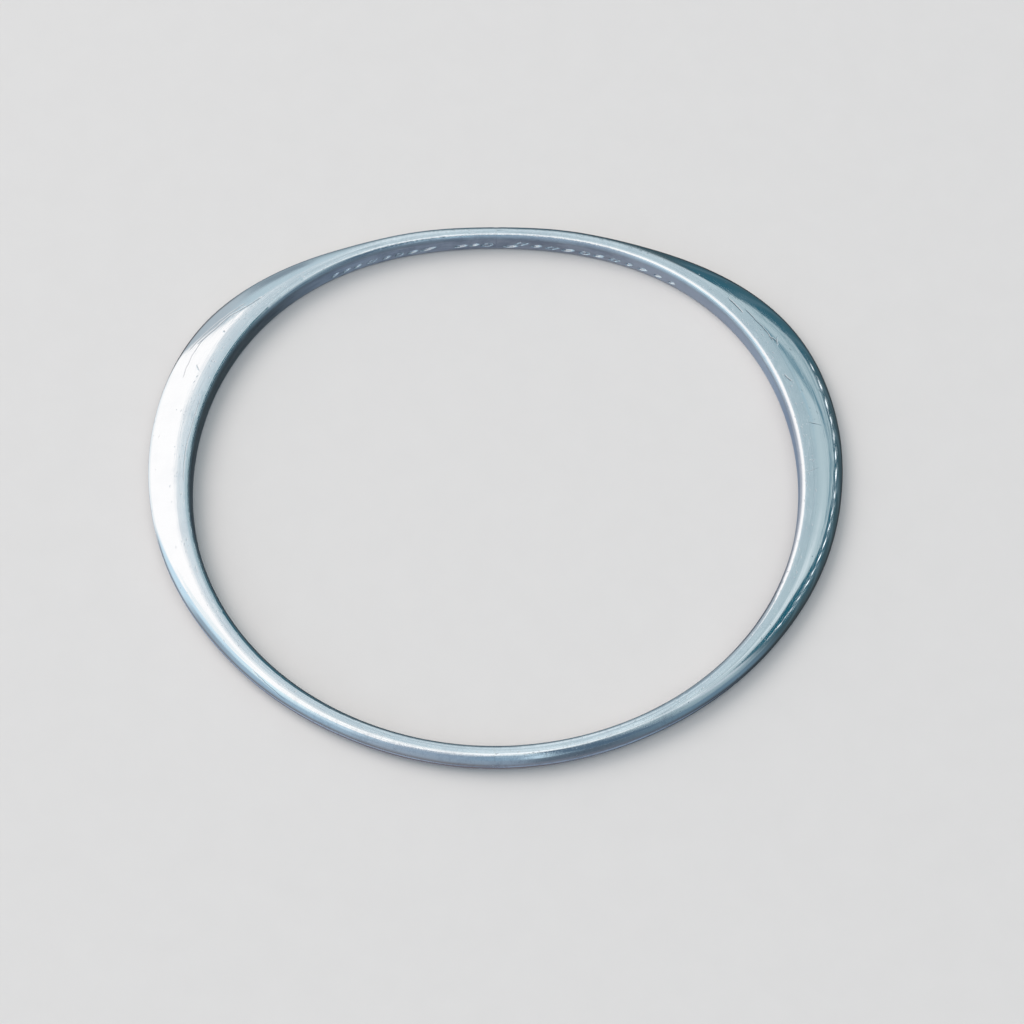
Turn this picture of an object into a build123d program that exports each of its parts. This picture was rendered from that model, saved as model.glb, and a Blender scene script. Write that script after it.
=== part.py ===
from build123d import *
import math
import os

# Closed oval bangle in solid sterling silver, made from two forged crescents.
#
# Frame: millimetres, +Z up, the bangle lies flat on z = 0.
# The origin is under the middle of its outline. +X runs along the longer way
# across (crescent to crescent), +Y points to the back, where the ring is
# thinnest. The two crescents are mirror images across the plane x = 0.
#
# Each half is a bar with a D-shaped section: a straight upright wall that faces
# the wrist, and a domed outside. Its radial thickness swells from about 2 mm at
# the front to over 5 mm at the shoulder, and falls to 1.75 mm at the back.
# The rims are lapped flat, so the bangle lies true on either side.

# ---- driving dimensions, mm -------------------------------------------------
RIM_HEIGHT = 2.80          # height of the finished ring
LAP_DEPTH = 0.03           # taken off each rim when it is lapped flat
INNER_EDGE_R = 0.50        # soft edge between the wrist wall and each rim
DOME_POWER = 2.20          # 2 is an ellipse; a little more is a fuller dome
SEAM_GAP = 0.12            # hard-solder joint between the halves

# wrist opening: radius about the working centre at angle u (u = 0 at +X, 90 at +Y)
OPEN_R0 = 30.826           # mean radius
OPEN_R2 = 1.391            # makes the opening longer along X (64.0 x 58.4 overall)
OPEN_R4 = -0.217           # eases the oval
OPEN_R3 = 0.248            # a slightly squarer back
OPEN_R5 = -0.088

# radial thickness of the bar against u, degrees (front -90, side 0, back +90)
THICKNESS = [
    (-90.0, 2.068), (-75.0, 2.064), (-60.0, 2.082), (-45.0, 2.342),
    (-30.0, 2.894), (-15.0, 3.779), (0.0, 4.603), (10.0, 5.037),
    (20.0, 5.254), (30.0, 5.026), (40.0, 4.126), (50.0, 3.027),
    (60.0, 2.194), (75.0, 1.902), (90.0, 1.745),
]

# places along each half where the section is drawn, degrees
STATIONS = [-90.0, -82.0, -74.0, -66.0, -58.0, -50.0, -42.0, -34.0, -26.0,
            -18.0, -10.0, -3.0, 4.0, 11.0, 18.0, 25.0, 32.0, 38.0, 44.0, 50.0,
            56.0, 62.0, 68.0, 75.0, 82.0, 90.0]


# ---- shape of the opening and of the bar --------------------------------------
def open_radius(u_deg):
    u = math.radians(u_deg)
    return (OPEN_R0 + OPEN_R2 * math.cos(2 * u) + OPEN_R4 * math.cos(4 * u)
            + OPEN_R3 * math.sin(3 * u) + OPEN_R5 * math.sin(5 * u))


def spline_slopes(points):
    """Second derivatives of the smooth curve through the points, flat at both ends."""
    n = len(points)
    x = [p[0] for p in points]
    y = [p[1] for p in points]
    lower, diag, upper, rhs = [0.0] * n, [0.0] * n, [0.0] * n, [0.0] * n
    for i in range(n):
        if i == 0:
            h = x[1] - x[0]
            diag[0], upper[0], rhs[0] = 2 * h, h, 6 * (y[1] - y[0]) / h
        elif i == n - 1:
            h = x[-1] - x[-2]
            lower[i], diag[i], rhs[i] = h, 2 * h, -6 * (y[-1] - y[-2]) / h
        else:
            h0, h1 = x[i] - x[i - 1], x[i + 1] - x[i]
            lower[i], diag[i], upper[i] = h0, 2 * (h0 + h1), h1
            rhs[i] = 6 * ((y[i + 1] - y[i]) / h1 - (y[i] - y[i - 1]) / h0)
    for i in range(1, n):
        w = lower[i] / diag[i - 1]
        diag[i] -= w * upper[i - 1]
        rhs[i] -= w * rhs[i - 1]
    m = [0.0] * n
    m[-1] = rhs[-1] / diag[-1]
    for i in range(n - 2, -1, -1):
        m[i] = (rhs[i] - upper[i] * m[i + 1]) / diag[i]
    return m


THICKNESS_M = spline_slopes(THICKNESS)


def bar_thickness(u_deg):
    for i in range(len(THICKNESS) - 1):
        x0, y0 = THICKNESS[i]
        x1, y1 = THICKNESS[i + 1]
        if u_deg <= x1 or i == len(THICKNESS) - 2:
            h = x1 - x0
            a, b = (x1 - u_deg) / h, (u_deg - x0) / h
            return (a * y0 + b * y1
                    + ((a ** 3 - a) * THICKNESS_M[i] + (b ** 3 - b) * THICKNESS_M[i + 1]) * h * h / 6)


# the front and back of the outline are made equally far from the origin
BACK = open_radius(90.0) + bar_thickness(90.0)
FRONT = open_radius(-90.0) + bar_thickness(-90.0)
Y_SHIFT = (FRONT - BACK) / 2.0


def wall_point(u_deg):
    u = math.radians(u_deg)
    r = open_radius(u_deg)
    return r * math.cos(u), r * math.sin(u) + Y_SHIFT


def wall_normal(u_deg):
    d = 0.01
    x0, y0 = wall_point(u_deg - d)
    x1, y1 = wall_point(u_deg + d)
    tx, ty = x1 - x0, y1 - y0
    length = math.hypot(tx, ty)
    return ty / length, -tx / length


# ---- section of the bar -------------------------------------------------------
def dome_points(thick, count=9):
    """Quarter of the domed outside, from the crown of the rim to the outermost line."""
    reach = thick - INNER_EDGE_R
    half = RIM_HEIGHT / 2.0 + LAP_DEPTH
    p = 2.0 / DOME_POWER
    pts = []
    for i in range(count):
        a = (math.pi / 2.0) * i / (count - 1)
        s = INNER_EDGE_R + reach * math.sin(a) ** p
        z = half * max(math.cos(a), 0.0) ** p
        pts.append((s, z))
    pts[0] = (INNER_EDGE_R, half)
    pts[-1] = (thick, 0.0)
    return pts


def section_wire(x, y, nx, ny, thick):
    """Closed outline of the bar, standing on the wall point (x, y) and facing out along (nx, ny)."""
    mid = RIM_HEIGHT / 2.0
    half = mid + LAP_DEPTH
    plane = Plane(origin=(x, y, mid), x_dir=(nx, ny, 0), z_dir=(ny, -nx, 0))
    k = INNER_EDGE_R

    def at(s, z):
        return plane.from_local_coords(Vector(s, z, 0))

    def soft_edge(sign):
        pts = [at(k * (1 - math.cos(a)), sign * (half - k + k * math.sin(a)))
               for a in [math.pi / 2.0 * i / 6 for i in range(7)]]
        tan = [plane.from_local_coords(Vector(0, sign, 0)) - plane.origin,
               plane.from_local_coords(Vector(1, 0, 0)) - plane.origin]
        return Edge.make_spline(pts, tangents=tan)

    def dome(sign):
        pts = [at(s, sign * z) for s, z in dome_points(thick)]
        tan = [plane.from_local_coords(Vector(1, 0, 0)) - plane.origin,
               plane.from_local_coords(Vector(0, -sign, 0)) - plane.origin]
        return Edge.make_spline(pts, tangents=tan)

    wall = Edge.make_line(at(0, -(half - k)), at(0, half - k))
    return Wire([wall, soft_edge(1), dome(1), dome(-1), soft_edge(-1)])


def end_section(sign_y, x):
    """Section on the plane of a solder joint, at the front (-1) or the back (+1)."""
    u = 90.0 * sign_y
    wx, wy = wall_point(u)
    return section_wire(x, wy, 0.0, float(sign_y), bar_thickness(u))


# everything is trimmed to the finished height, which leaves the lapped rims flat
LAP = Box(120, 120, RIM_HEIGHT, align=(Align.CENTER, Align.CENTER, Align.MIN))

# ---- right half ----------------------------------------------------------------
wires = [end_section(-1, SEAM_GAP / 2.0)]
for u in STATIONS[1:-1]:
    px, py = wall_point(u)
    nx, ny = wall_normal(u)
    wires.append(section_wire(px, py, nx, ny, bar_thickness(u)))
wires.append(end_section(1, SEAM_GAP / 2.0))

right_half = Solid.make_loft(wires, ruled=False) & LAP
left_half = mirror(right_half, about=Plane.YZ)

# ---- solder joints ---------------------------------------------------------------
front_face = Face(end_section(-1, -SEAM_GAP / 2.0))
back_face = Face(end_section(1, -SEAM_GAP / 2.0))
front_solder_seam = Solid.extrude(front_face, Vector(SEAM_GAP, 0, 0)) & LAP
back_solder_seam = Solid.extrude(back_face, Vector(SEAM_GAP, 0, 0)) & LAP


def one_solid(shape):
    solids = shape.solids()
    if len(solids) != 1:
        raise ValueError("expected one solid, found %d" % len(solids))
    return solids[0]


NODES = {
    "left_half": one_solid(left_half),
    "right_half": one_solid(right_half),
    "front_solder_seam": one_solid(front_solder_seam),
    "back_solder_seam": one_solid(back_solder_seam),
}

os.makedirs("parts", exist_ok=True)
for name, shape in NODES.items():
    export_step(shape, "parts/%s.step" % name)
    box = shape.bounding_box()
    print(name, "volume %.1f mm3" % shape.volume, "valid", shape.is_valid,
          "box", tuple(round(v, 3) for v in (box.min.X, box.min.Y, box.min.Z)),
          tuple(round(v, 3) for v in (box.max.X, box.max.Y, box.max.Z)))
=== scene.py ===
import math

import bpy
import numpy as np
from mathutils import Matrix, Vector


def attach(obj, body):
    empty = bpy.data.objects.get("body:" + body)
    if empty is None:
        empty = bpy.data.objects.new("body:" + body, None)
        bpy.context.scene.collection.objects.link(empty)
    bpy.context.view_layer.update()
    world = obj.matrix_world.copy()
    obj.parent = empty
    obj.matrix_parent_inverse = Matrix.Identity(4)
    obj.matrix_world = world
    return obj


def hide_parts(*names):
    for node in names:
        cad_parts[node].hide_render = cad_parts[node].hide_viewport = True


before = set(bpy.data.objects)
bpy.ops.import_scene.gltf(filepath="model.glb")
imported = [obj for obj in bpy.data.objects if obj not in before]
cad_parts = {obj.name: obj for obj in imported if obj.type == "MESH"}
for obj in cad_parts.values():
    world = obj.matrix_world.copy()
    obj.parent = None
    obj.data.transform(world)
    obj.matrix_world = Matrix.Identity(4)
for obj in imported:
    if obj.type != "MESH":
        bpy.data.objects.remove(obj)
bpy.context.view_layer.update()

MM = 0.001

# ------------------------------------------------------------------------------
# Shape of the bangle, millimetres: the same figures as the CAD model.
# ------------------------------------------------------------------------------
RIM_HEIGHT, LAP_DEPTH, INNER_EDGE_R, DOME_POWER, SEAM_GAP = 2.80, 0.03, 0.50, 2.20, 0.12
OPEN_R0, OPEN_R2, OPEN_R4, OPEN_R3, OPEN_R5 = 30.826, 1.391, -0.217, 0.248, -0.088
THICKNESS = [
    (-90.0, 2.068), (-75.0, 2.064), (-60.0, 2.082), (-45.0, 2.342),
    (-30.0, 2.894), (-15.0, 3.779), (0.0, 4.603), (10.0, 5.037),
    (20.0, 5.254), (30.0, 5.026), (40.0, 4.126), (50.0, 3.027),
    (60.0, 2.194), (75.0, 1.902), (90.0, 1.745),
]
HALF = RIM_HEIGHT / 2 + LAP_DEPTH


def open_radius(u):
    return (OPEN_R0 + OPEN_R2 * np.cos(2 * u) + OPEN_R4 * np.cos(4 * u)
            + OPEN_R3 * np.sin(3 * u) + OPEN_R5 * np.sin(5 * u))


def clamped_spline(points):
    """Smooth curve through the points, flat at both ends, as a function of x."""
    x = np.array([p[0] for p in points], float)
    y = np.array([p[1] for p in points], float)
    n = len(x)
    h = np.diff(x)
    a = np.zeros((n, n))
    b = np.zeros(n)
    a[0, 0], a[0, 1], b[0] = 2 * h[0], h[0], 6 * (y[1] - y[0]) / h[0]
    a[-1, -1], a[-1, -2], b[-1] = 2 * h[-1], h[-1], -6 * (y[-1] - y[-2]) / h[-1]
    for i in range(1, n - 1):
        a[i, i - 1], a[i, i], a[i, i + 1] = h[i - 1], 2 * (h[i - 1] + h[i]), h[i]
        b[i] = 6 * ((y[i + 1] - y[i]) / h[i] - (y[i] - y[i - 1]) / h[i - 1])
    m = np.linalg.solve(a, b)

    def f(q):
        i = np.clip(np.searchsorted(x, q) - 1, 0, n - 2)
        hi = x[i + 1] - x[i]
        p, r = (x[i + 1] - q) / hi, (q - x[i]) / hi
        return (p * y[i] + r * y[i + 1]
                + ((p ** 3 - p) * m[i] + (r ** 3 - r) * m[i + 1]) * hi * hi / 6)
    return f


THICK = clamped_spline(THICKNESS)
_back = float(open_radius(math.radians(90.0))) + 1.745
_front = float(open_radius(math.radians(-90.0))) + 2.068
Y_SHIFT = (_front - _back) / 2


def wall_frame(u):
    """Wall points and outward normals for the right half at angles u (radians)."""
    d = 1e-4
    r0, r1, r = open_radius(u - d), open_radius(u + d), open_radius(u)
    x, y = r * np.cos(u), r * np.sin(u)
    dx = r1 * np.cos(u + d) - r0 * np.cos(u - d)
    dy = r1 * np.sin(u + d) - r0 * np.sin(u - d)
    length = np.hypot(dx, dy)
    return x, y + Y_SHIFT, dy / length, -dx / length


def smooth(x, a, b):
    t = np.clip((x - a) / (b - a), 0, 1)
    return t * t * (3 - 2 * t)


def soft_min(a, b, k):
    h = np.clip(0.5 + 0.5 * (b - a) / k, 0.0, 1.0)
    return b * (1 - h) + a * h - k * h * (1 - h)


# how the outline of a section is divided; the underside is coarser
N_WALL, N_EDGE, N_DOME, N_UNDER, N_UNDER_EDGE = 54, 9, 32, 12, 6
WORN_EDGE_R = 0.70           # the upper inner edge has been worn and polished rounder


def outline():
    """Section outline as (kind, parameter) arrays: wall going up, soft edge, dome
    over the outside, soft edge again. One closed loop. The lower part of the wall,
    where the marks are, is divided finely."""
    rows = []
    low, knee, top = -(HALF - INNER_EDGE_R), 0.42, HALF - WORN_EDGE_R
    fine = N_WALL - 5
    for i in range(fine):
        rows.append(("wall", low + (knee - low) * i / fine, 0.0))
    for i in range(5):
        rows.append(("wall", knee + (top - knee) * i / 5, 0.0))
    for i in range(N_EDGE):
        rows.append(("edge", 1.0, math.pi / 2 * i / N_EDGE))
    for i in range(N_DOME):
        rows.append(("dome", 1.0, math.pi / 2 * i / N_DOME))
    for i in range(N_UNDER):
        rows.append(("dome", -1.0, math.pi / 2 * (1 - i / N_UNDER)))
    for i in range(N_UNDER_EDGE):
        rows.append(("edge", -1.0, math.pi / 2 * (1 - i / N_UNDER_EDGE)))
    return rows


OUTLINE = outline()
N_SEC = len(OUTLINE)


def sections(t):
    """(stations x outline) arrays of s (away from the wrist) and z (up), mm."""
    s = np.zeros((len(t), N_SEC))
    z = np.zeros((len(t), N_SEC))
    p = 2 / DOME_POWER
    for k, (kind, a, b) in enumerate(OUTLINE):
        r = WORN_EDGE_R if a > 0 else INNER_EDGE_R
        if kind == "wall":
            s[:, k], z[:, k] = 0.0, a
        elif kind == "edge":
            s[:, k] = r * (1 - math.cos(b))
            z[:, k] = a * (HALF - r + r * math.sin(b))
        else:
            s[:, k] = r + (t - r) * math.sin(b) ** p
            z[:, k] = a * HALF * max(math.cos(b), 0.0) ** p
    lap = RIM_HEIGHT / 2
    worn = 0.060 - 0.038 * smooth(s, 0.42, 0.95)      # the inner arris is worn rounder
    z = np.sign(z) * soft_min(np.abs(z), lap, worn)
    return s, z + lap


def stations():
    """Angles for one half, closer together along the back where the marks are."""
    u = np.radians(np.linspace(-90, 90, 7201))
    x, y, _, _ = wall_frame(u)
    arc = np.concatenate([[0], np.cumsum(np.hypot(np.diff(x), np.diff(y)))])
    deg = np.degrees(u)
    fine, coarse = 0.072, 0.178
    mix = np.clip((deg - 44.0) / 6.0, 0, 1)
    step = coarse * (1 - mix) + fine * mix
    step = np.minimum(step, 0.08 + 0.1 * np.clip((deg + 90) / 4.0, 0, 1))
    count = np.concatenate([[0], np.cumsum(np.diff(arc) / ((step[1:] + step[:-1]) / 2))])
    n = int(round(count[-1]))
    want = np.linspace(0, count[-1], n + 1)
    return np.interp(want, count, u), np.interp(want, count, arc)


# ------------------------------------------------------------------------------
# Hand-made surface: slow waviness left by the planishing hammer and the polishing
# wheel, knocks on the edges, and a row of plain punch marks inside the back.
# ------------------------------------------------------------------------------
def waves(arc, v, seed, low, high, across, number):
    rng = np.random.default_rng(seed)
    total = np.zeros(np.broadcast(arc, v).shape)
    for _ in range(number):
        wl = rng.uniform(low, high)
        wa = rng.uniform(*across) * rng.choice([-1, 1])
        total += rng.uniform(0.5, 1.0) * np.sin(2 * np.pi * (arc / wl + v / wa) + rng.uniform(0, 2 * np.pi))
    return total / math.sqrt(number)


def punch_depth(arc, z, marks):
    """Depth in mm of the punch marks at wall positions (arc, z). Every mark has a
    nearly flat floor, steep sides and a low raised lip."""
    depth = np.zeros_like(arc)
    for kind, ca, cz, w, h, tilt, deep in marks:
        near = (np.abs(arc - ca) < w + 0.4) & (np.abs(z - cz) < h + 0.5)
        if not near.any():
            continue
        x, y = arc[near] - ca, z[near] - cz
        c, s = math.cos(tilt), math.sin(tilt)
        x, y = x * c + y * s, -x * s + y * c
        if kind == "lozenge":                    # four-sided, with an island left inside
            d = (np.abs(x) / w + np.abs(y) / h - 1) * h * 0.8
            inside = (np.abs(x) / (w * 0.42) + np.abs(y) / (h * 0.42) - 1) * h * 0.34
            d = np.maximum(d, -inside)
        elif kind == "oval":                     # ring-shaped groove
            d = (np.abs(np.hypot(x / w, y / h) - 0.72) - 0.30) * h
        else:                                    # bar with pointed ends
            d = (np.abs(x / w) ** 3 + np.abs(y) / h - 1) * h
        depth[near] = np.maximum(depth[near], deep * smooth(-d, 0.0, 0.080))
        depth[near] -= 0.007 * np.exp(-((d - 0.035) / 0.035) ** 2)
    return depth


# kind, degrees round the ring (90 = middle of the back), height, half width,
# half height, slope, depth. Plain shapes only, in no order that reads as anything.
MARKS = [
    ("bar", 51.6, 0.96, 0.50, 0.24, 0.46, 0.26),
    ("bar", 54.8, 0.96, 0.56, 0.24, 0.30, 0.26),
    ("bar", 58.2, 0.98, 0.66, 0.26, 0.34, 0.26),
    ("bar", 61.2, 0.98, 0.50, 0.25, 0.46, 0.26),
    ("lozenge", 64.4, 0.98, 0.80, 0.40, 0.22, 0.26),
    ("bar", 67.8, 0.98, 0.70, 0.27, 0.30, 0.26),
    ("oval", 70.8, 1.00, 0.66, 0.36, 0.18, 0.26),
    ("bar", 74.4, 1.00, 0.84, 0.28, 0.26, 0.27),
    ("lozenge", 77.9, 1.04, 0.94, 0.42, 0.20, 0.27),
    ("bar", 81.2, 1.14, 0.70, 0.28, 0.30, 0.27),
    ("lozenge", 84.6, 1.44, 0.98, 0.42, 0.18, 0.27),
    ("bar", 86.9, 0.84, 0.88, 0.27, 0.14, 0.27),
    ("oval", 91.9, 1.14, 0.74, 0.38, 0.22, 0.26),
    ("bar", 94.7, 1.20, 0.66, 0.26, 0.34, 0.26),
    ("bar", 97.7, 1.08, 0.84, 0.28, 0.20, 0.27),
    ("bar", 104.7, 1.16, 1.02, 0.26, 0.28, 0.27),
    ("bar", 108.0, 1.04, 0.70, 0.26, 0.36, 0.26),
    ("oval", 110.9, 1.04, 0.54, 0.35, 0.25, 0.26),
    ("bar", 113.6, 1.02, 0.56, 0.25, 0.46, 0.26),
    ("lozenge", 116.8, 1.08, 0.76, 0.40, 0.32, 0.26),
    ("bar", 119.9, 1.04, 0.54, 0.25, 0.50, 0.26),
    ("bar", 122.3, 1.06, 0.54, 0.25, 0.50, 0.26),
    ("bar", 124.9, 1.08, 0.56, 0.25, 0.50, 0.26),
]


def build_half(name, side):
    """One forged half as a dense closed mesh. side is +1 (right) or -1 (left)."""
    u, arc = stations()
    x, y, nx, ny = wall_frame(u)
    deg = np.degrees(u)
    t = THICK(deg)
    s, z = sections(t)

    # ends lie in the planes of the solder joints
    gap = SEAM_GAP / 2
    x = x.copy()
    for i in (0, -1):
        nx[i], ny[i] = 0.0, math.copysign(1.0, ny[i])
    blend = 1 - smooth(np.minimum(arc, arc[-1] - arc), 0.0, 1.2)
    x += blend * gap

    # distance round the section from the foot of the wall, mm
    closed_s = np.concatenate([s, s[:, :1]], 1)
    closed_z = np.concatenate([z, z[:, :1]], 1)
    steps = np.hypot(np.diff(closed_s, axis=1), np.diff(closed_z, axis=1))
    v = np.concatenate([np.zeros((len(u), 1)), np.cumsum(steps, 1)], 1)

    A = np.repeat(arc[:, None], N_SEC, 1)
    V = v[:, :-1]
    T = np.repeat(t[:, None], N_SEC, 1)

    # in-plane normal of the section (pointing out of the metal)
    ds = np.roll(s, -1, 1) - np.roll(s, 1, 1)
    dz = np.roll(z, -1, 1) - np.roll(z, 1, 1)
    ln = np.hypot(ds, dz) + 1e-12
    ns, nz = -dz / ln, ds / ln          # wall goes up (dz > 0) so this points to -s
    end_fade = smooth(np.minimum(A, arc[-1] - A), 0.0, 1.5)

    # slow waviness of the polished outside; the lapped rims and the wall stay true
    seed = 11 if side > 0 else 23
    dome = smooth(s / T, 0.30, 0.62)
    wav = 0.0065 * waves(A, V, seed, 7.0, 19.0, (5.0, 12.0), 7)
    wav += 0.0016 * waves(A, V, seed + 1, 2.4, 5.0, (2.0, 5.0), 6)
    push = wav * dome * end_fade
    wall = (1 - smooth(s, 0.02, 0.22))
    push = push + 0.0020 * waves(A, V, seed + 2, 2.5, 7.0, (2.0, 5.0), 6) * wall * end_fade
    push = push - 0.0065 * np.maximum(dome, wall) * end_fade * 0.6

    # small knocks along the two inner edges and the outer shoulder
    rng = np.random.default_rng(seed + 5)
    zone = [(0.34, 2.72, 22), (0.62, 2.8, 18)]
    for s_c, z_c, number in zone:
        for _ in range(number):
            a0 = rng.uniform(2.0, arc[-1] - 2.0)
            s0 = s_c + rng.uniform(-0.08, 0.10)
            ra, rs = rng.uniform(0.12, 0.34), rng.uniform(0.06, 0.14)
            dp = rng.uniform(0.006, 0.020)
            m = (z > 1.4)
            g = np.exp(-((A - a0) / ra) ** 2 - ((s - s0) / rs) ** 2) * m
            push = push - dp * g

    # the nick on the outer edge at the middle of the back
    g = np.exp(-(((arc[-1] - A) - 0.0) / 0.20) ** 2 - ((s - (T - 0.10)) / 0.16) ** 2) * (z > 1.55) * (z < 2.5)
    push = push - 0.055 * g * (deg[:, None] > 60)
    # three shallow pits beside the front joint, low on the outside
    if side < 0:
        for a0, z0, dp in ((1.45, 1.00, 0.05), (1.95, 0.62, 0.045), (1.05, 0.45, 0.03)):
            g = np.exp(-((A - a0) / 0.16) ** 2 - ((z - z0) / 0.13) ** 2) * (s > T * 0.6)
            push = push - dp * g * (deg[:, None] < -60)

    s2 = s + push * ns
    z2 = z + push * nz

    # punch marks go into the wall (towards +s)
    marks = []
    for kind, d, h, w, hh, tilt, deep in MARKS:
        if side > 0 and d <= 90:
            marks.append((kind, float(np.interp(d, deg, arc)), h, w, hh, -tilt, deep))
        if side < 0 and d > 90:
            marks.append((kind, float(np.interp(180 - d, deg, arc)), h, w, hh, tilt, deep))
    on_wall = np.zeros_like(s, bool)
    on_wall[:, :N_WALL + 4] = True
    on_wall[:, -3:] = True
    depth = np.where(on_wall, punch_depth(A, z, marks), 0.0)
    s2 = s2 + depth

    z2 = np.clip(z2, 0.0, RIM_HEIGHT)
    px = (x[:, None] + s2 * nx[:, None]) * side
    py = y[:, None] + s2 * ny[:, None]
    px[0], px[-1] = side * gap, side * gap
    pts = np.stack([px, py, z2], -1).reshape(-1, 3) * MM

    n = len(u)
    i = np.arange(n - 1)[:, None] * N_SEC
    k = np.arange(N_SEC)[None, :]
    k2 = (k + 1) % N_SEC
    quads = np.stack([i + k, i + k2, i + N_SEC + k2, i + N_SEC + k], -1).reshape(-1, 4)
    if side < 0:
        quads = quads[:, ::-1]
    caps = [list(range(N_SEC)), [(n - 1) * N_SEC + j for j in range(N_SEC)]]
    if side > 0:
        caps[0] = caps[0][::-1]
    else:
        caps[1] = caps[1][::-1]
    ob = make_mesh(name, pts, quads.tolist() + caps)
    add_fields(ob, {
        "ring_a": A, "ring_v": V, "ring_s": s, "ring_z": z, "ring_t": T,
        "wall": np.where(z < 2.78, 1 - smooth(s, 0.14, 0.34), 0.0),
        "thin": smooth(np.abs(np.repeat(deg[:, None], N_SEC, 1) - 6.0), 46.0, 66.0),
        "lapped": smooth(np.abs(z - RIM_HEIGHT / 2), RIM_HEIGHT / 2 - 0.030, RIM_HEIGHT / 2 - 0.004),
        "recess": np.clip(depth / 0.03, 0, 1),
        "ring_deg": np.repeat(deg[:, None], N_SEC, 1),
    })
    return ob


def make_mesh(name, pts, faces):
    me = bpy.data.meshes.new(name)
    me.from_pydata([tuple(p) for p in np.asarray(pts).tolist()], [], faces)
    me.update()
    me.validate()
    for p in me.polygons:
        p.use_smooth = len(p.vertices) == 4
    # the flat ends meet the sides at a crisp edge
    ends = np.zeros(2 * len(me.edges), dtype=np.int32)
    me.edges.foreach_get("vertices", ends)
    ends = ends.reshape(-1, 2)
    first, last = (ends < N_SEC).all(1), (ends >= len(me.vertices) - N_SEC).all(1)
    me.edges.foreach_set("use_edge_sharp", first | last)
    ob = bpy.data.objects.new(name, me)
    bpy.context.collection.objects.link(ob)
    return ob


def add_fields(ob, fields):
    for key, values in fields.items():
        att = ob.data.attributes.new(key, "FLOAT", "POINT")
        att.data.foreach_set("value", np.asarray(values, dtype=np.float32).ravel())


def build_seam(name, front):
    """The thin wall of hard solder between the halves, flush, with a few pin holes."""
    u = np.array([math.radians(-90.0 if front else 90.0)])
    t = np.array([2.068 if front else 1.745])
    s, z = sections(t)
    s, z = s[0], z[0]
    y0 = float(open_radius(u)[0] * math.sin(u[0])) + Y_SHIFT
    sgn = -1.0 if front else 1.0
    xs = np.linspace(-SEAM_GAP / 2, SEAM_GAP / 2, 7)
    ds, dz = np.roll(s, -1) - np.roll(s, 1), np.roll(z, -1) - np.roll(z, 1)
    ln = np.hypot(ds, dz) + 1e-12
    ns, nz = -dz / ln, ds / ln
    pts, fa, fs, fz, fw, fl = [], [], [], [], [], []
    for x in xs:
        dip = 0.0001 * (1 - (2 * x / SEAM_GAP) ** 2)
        nick = 0.0
        if not front:
            nick = 0.055 * np.exp(-(x / 0.20) ** 2 - ((s - (t[0] - 0.10)) / 0.16) ** 2) * (z > 1.55) * (z < 2.5)
        s2 = s - (dip + nick) * ns
        z2 = np.clip(z - (dip + nick) * nz, 0.0, RIM_HEIGHT)
        for k in range(N_SEC):
            pts.append((x * MM, (y0 + sgn * s2[k]) * MM, z2[k] * MM))
            fa.append(x); fs.append(s[k]); fz.append(z[k])
            fw.append(1.0 - float(smooth(s[k], 0.14, 0.34)) if z[k] < 2.78 else 0.0)
            fl.append(float(smooth(abs(z[k] - RIM_HEIGHT / 2), RIM_HEIGHT / 2 - 0.030, RIM_HEIGHT / 2 - 0.004)))
    n = len(xs)
    faces = []
    for i in range(n - 1):
        for k in range(N_SEC):
            k2 = (k + 1) % N_SEC
            q = [i * N_SEC + k, i * N_SEC + k2, (i + 1) * N_SEC + k2, (i + 1) * N_SEC + k]
            faces.append(q if not front else q[::-1])
    first, last = list(range(N_SEC)), [(n - 1) * N_SEC + j for j in range(N_SEC)]
    if front:
        faces += [first, last[::-1]]
    else:
        faces += [first[::-1], last]
    ob = make_mesh(name, pts, faces)
    add_fields(ob, {"ring_a": fa, "ring_s": fs, "ring_z": fz, "wall": fw, "lapped": fl})
    return ob


# ------------------------------------------------------------------------------
# Node helpers
# ------------------------------------------------------------------------------
def lin(r, g, b, k=1.0):
    def f(c):
        c /= 255.0
        return (c / 12.92 if c <= 0.04045 else ((c + 0.055) / 1.055) ** 2.4) * k
    return (f(r), f(g), f(b), 1.0)


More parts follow.
